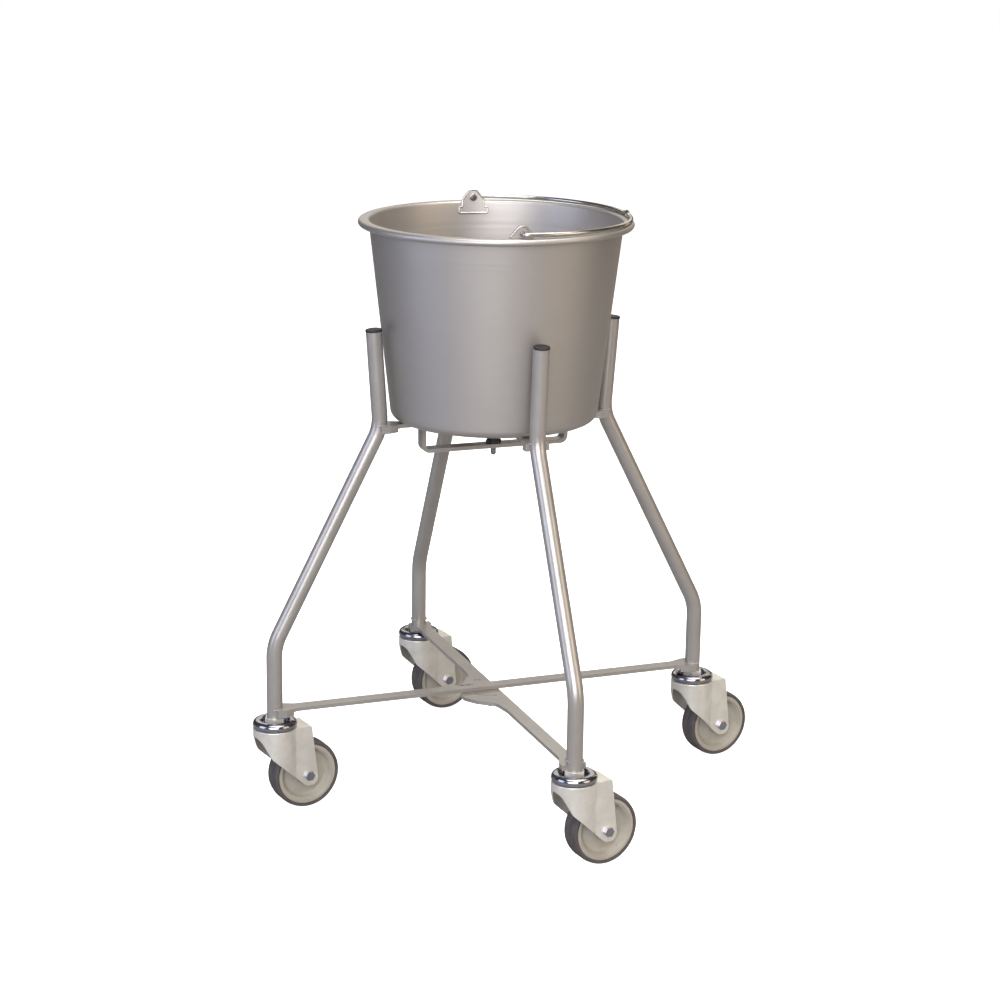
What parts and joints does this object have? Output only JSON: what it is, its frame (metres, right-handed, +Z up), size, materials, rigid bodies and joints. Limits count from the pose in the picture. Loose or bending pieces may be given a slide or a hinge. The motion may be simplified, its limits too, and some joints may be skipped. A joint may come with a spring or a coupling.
{
  "type": "cleaning bucket in a folding castor stand",
  "caption": "Steel bucket with a wire bail, carried by a folding tubular stand on swivel castors; rolls along, folds flat, and the bucket lifts out.",
  "frame": {"origin": "middle of the footprint's bounding box, on the floor", "axes": "+Z up; +X towards the right leg and the way the castors trail; +Y towards the back leg; the front leg and the near ear are at -Y"},
  "size_m": [0.6232, 0.5758, 0.685],
  "materials": {
    "frame_coat": "satin grey powder coat",
    "black_plastic": "moulded matt",
    "pin_steel": "turned",
    "pail_steel": "satin spun",
    "wire_steel": "bright drawn wire",
    "zinc_steel": "bright zinc plate",
    "bright_zinc": "polished zinc plate",
    "rim_plastic": "moulded light grey",
    "tread_rubber": "matt grey-brown"
  },
  "bodies": {
    "front_back_frame": {"leg_front": "frame_coat", "leg_back": "frame_coat", "leg_cap_front": "black_plastic", "leg_cap_back": "black_plastic", "upper_bar_straight": "frame_coat", "lower_bar_latch": "frame_coat", "upper_pivot_pin": "pin_steel", "upper_pivot_bush": "black_plastic", "castor_stem_front": "zinc_steel", "castor_dome_front": "bright_zinc", "castor_balls_front": "pin_steel", "castor_stem_back": "zinc_steel", "castor_dome_back": "bright_zinc", "castor_balls_back": "pin_steel"},
    "left_right_frame": {"leg_left": "frame_coat", "leg_right": "frame_coat", "leg_cap_left": "black_plastic", "leg_cap_right": "black_plastic", "upper_bar_dropped": "frame_coat", "lower_bar_plain": "frame_coat", "lower_pivot_pin": "pin_steel", "lower_pivot_washer": "pin_steel", "castor_stem_left": "zinc_steel", "castor_dome_left": "bright_zinc", "castor_balls_left": "pin_steel", "castor_stem_right": "zinc_steel", "castor_dome_right": "bright_zinc", "castor_balls_right": "pin_steel"},
    "pail": {"bucket": "pail_steel", "ear_front": "pail_steel", "ear_back": "pail_steel"},
    "bail": {"bail": "wire_steel"},
    "castor_front": {"castor_fork_front": "zinc_steel", "axle_bolt_front": "bright_zinc", "axle_nut_front": "bright_zinc", "bearing_sleeve_front": "pin_steel"},
    "wheel_front": {"wheel_rim_front": "rim_plastic", "tyre_front": "tread_rubber"},
    "castor_back": {"castor_fork_back": "zinc_steel", "axle_bolt_back": "bright_zinc", "axle_nut_back": "bright_zinc", "bearing_sleeve_back": "pin_steel"},
    "wheel_back": {"wheel_rim_back": "rim_plastic", "tyre_back": "tread_rubber"},
    "castor_left": {"castor_fork_left": "zinc_steel", "axle_bolt_left": "bright_zinc", "axle_nut_left": "bright_zinc", "bearing_sleeve_left": "pin_steel"},
    "wheel_left": {"wheel_rim_left": "rim_plastic", "tyre_left": "tread_rubber"},
    "castor_right": {"castor_fork_right": "zinc_steel", "axle_bolt_right": "bright_zinc", "axle_nut_right": "bright_zinc", "bearing_sleeve_right": "pin_steel"},
    "wheel_right": {"wheel_rim_right": "rim_plastic", "tyre_right": "tread_rubber"}
  },
  "joints": [
    {"name": "fold", "type": "hinge", "parent": "front_back_frame", "child": "left_right_frame", "pos_m": [-0.02499, -0.00125, 0.424], "axis": [0, 0, 1], "range_deg": [0, 65]},
    {"name": "bucket_lift", "type": "slide", "parent": "front_back_frame", "child": "pail", "axis": [0, 0, 1], "range_m": [0, 0.25]},
    {"name": "bail_swing", "type": "hinge", "parent": "pail", "child": "bail", "pos_m": [-0.02499, -0.00125, 0.676], "axis": [-0.1616, -0.9869, 0], "range_deg": [0, 180]},
    {"name": "swivel_front", "type": "hinge", "parent": "front_back_frame", "child": "castor_front", "pos_m": [-0.02499, -0.26265, 0.104], "axis": [0, 0, 1], "continuous": true},
    {"name": "roll_front", "type": "hinge", "parent": "castor_front", "child": "wheel_front", "pos_m": [0.00958, -0.25717, 0.04], "axis": [-0.1564, 0.9877, 0], "continuous": true},
    {"name": "swivel_back", "type": "hinge", "parent": "front_back_frame", "child": "castor_back", "pos_m": [-0.02499, 0.26015, 0.104], "axis": [0, 0, 1], "continuous": true},
    {"name": "roll_back", "type": "hinge", "parent": "castor_back", "child": "wheel_back", "pos_m": [0.00958, 0.26563, 0.04], "axis": [-0.1564, 0.9877, 0], "continuous": true},
    {"name": "swivel_left", "type": "hinge", "parent": "left_right_frame", "child": "castor_left", "pos_m": [-0.28639, -0.00125, 0.104], "axis": [0, 0, 1], "continuous": true},
    {"name": "roll_left", "type": "hinge", "parent": "castor_left", "child": "wheel_left", "pos_m": [-0.25182, 0.00423, 0.04], "axis": [-0.1564, 0.9877, 0], "continuous": true},
    {"name": "swivel_right", "type": "hinge", "parent": "left_right_frame", "child": "castor_right", "pos_m": [0.23641, -0.00125, 0.104], "axis": [0, 0, 1], "continuous": true},
    {"name": "roll_right", "type": "hinge", "parent": "castor_right", "child": "wheel_right", "pos_m": [0.27098, 0.00423, 0.04], "axis": [-0.1564, 0.9877, 0], "continuous": true}
  ]
}
